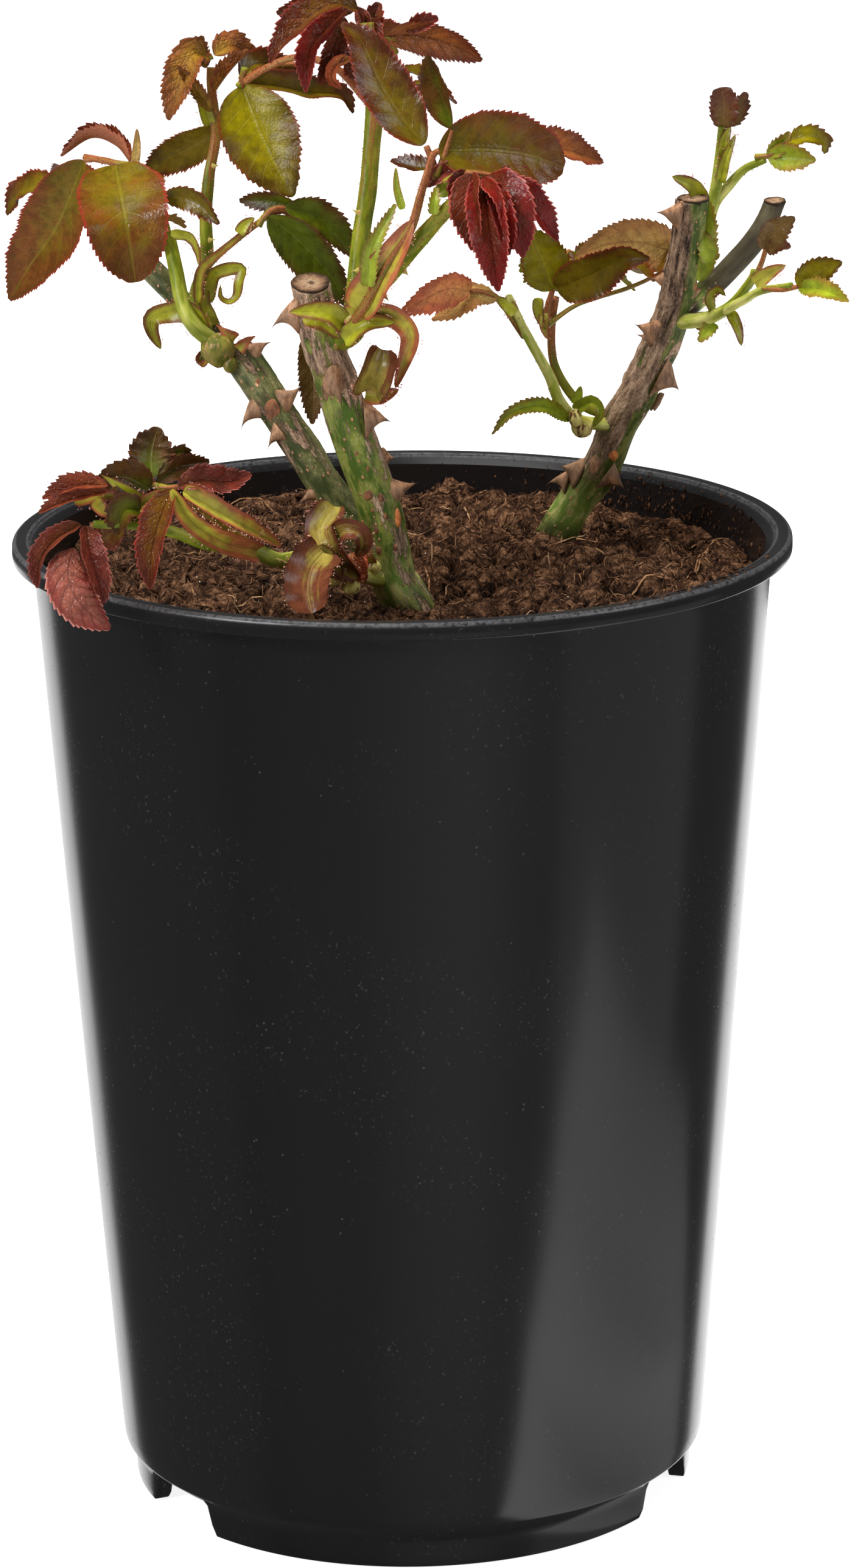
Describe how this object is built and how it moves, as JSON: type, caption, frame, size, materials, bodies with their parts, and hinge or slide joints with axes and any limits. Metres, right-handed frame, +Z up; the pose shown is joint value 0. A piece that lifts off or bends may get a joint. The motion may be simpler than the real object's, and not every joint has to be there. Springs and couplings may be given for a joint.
{
  "type": "potted rose bush",
  "caption": "Pruned rose bush with thorny canes, young leafy shoots and serrated red and green leaves, growing in a deep round nursery pot filled with peat.",
  "frame": {"origin": "on the pot's axis, on the ground under its feet, at the centre of the overall box's bottom", "axes": "+Z up, the front of the plant faces -Y, +X to the right as seen from the front"},
  "size_m": [0.2227, 0.21, 0.4129],
  "materials": {
    "black_plastic": "smooth glossy moulded plastic",
    "peat": "rough fibrous peat",
    "cane_bark": "green bark with grey brown patches",
    "green_shoot": "smooth young stem",
    "olive_leaf": "semi gloss leaf",
    "red_leaf": "semi gloss leaf"
  },
  "bodies": {
    "root": {"cane_left": "cane_bark", "cane_left_stub": "cane_bark", "cane_middle": "cane_bark", "cane_right": "cane_bark", "cane_right_stub": "cane_bark", "leaf_hanging_back": "olive_leaf", "leaf_left_inner": "olive_leaf", "leaf_left_low": "olive_leaf", "leaf_right_bud": "olive_leaf", "leaf_right_strap": "olive_leaf", "leaves_back_left": "olive_leaf", "leaves_front_left": "red_leaf", "leaves_front_low": "red_leaf", "leaves_green": "olive_leaf", "leaves_hanging_red": "red_leaf", "leaves_left_pair": "olive_leaf", "leaves_left_top": "olive_leaf", "leaves_middle_high": "olive_leaf", "leaves_middle_pair": "olive_leaf", "leaves_orange": "red_leaf", "leaves_right_low": "olive_leaf", "leaves_right_side": "olive_leaf", "leaves_right_top": "olive_leaf", "leaves_right_upper": "olive_leaf", "leaves_top": "red_leaf", "pot": "black_plastic", "shoot_front_low": "green_shoot", "shoot_left_low": "green_shoot", "shoot_left_tall": "green_shoot", "shoot_middle_front": "green_shoot", "shoot_middle_tall": "green_shoot", "shoot_right_back": "green_shoot", "shoot_right_inner": "green_shoot", "shoot_right_side": "green_shoot", "shoot_right_top": "green_shoot", "soil": "peat", "stalk_front_low": "green_shoot", "stalk_green": "green_shoot", "stalk_left": "green_shoot", "stalk_left_inner": "green_shoot", "stalk_middle": "green_shoot", "stalk_right_side": "green_shoot", "stalk_right_top": "green_shoot"}
  },
  "joints": []
}
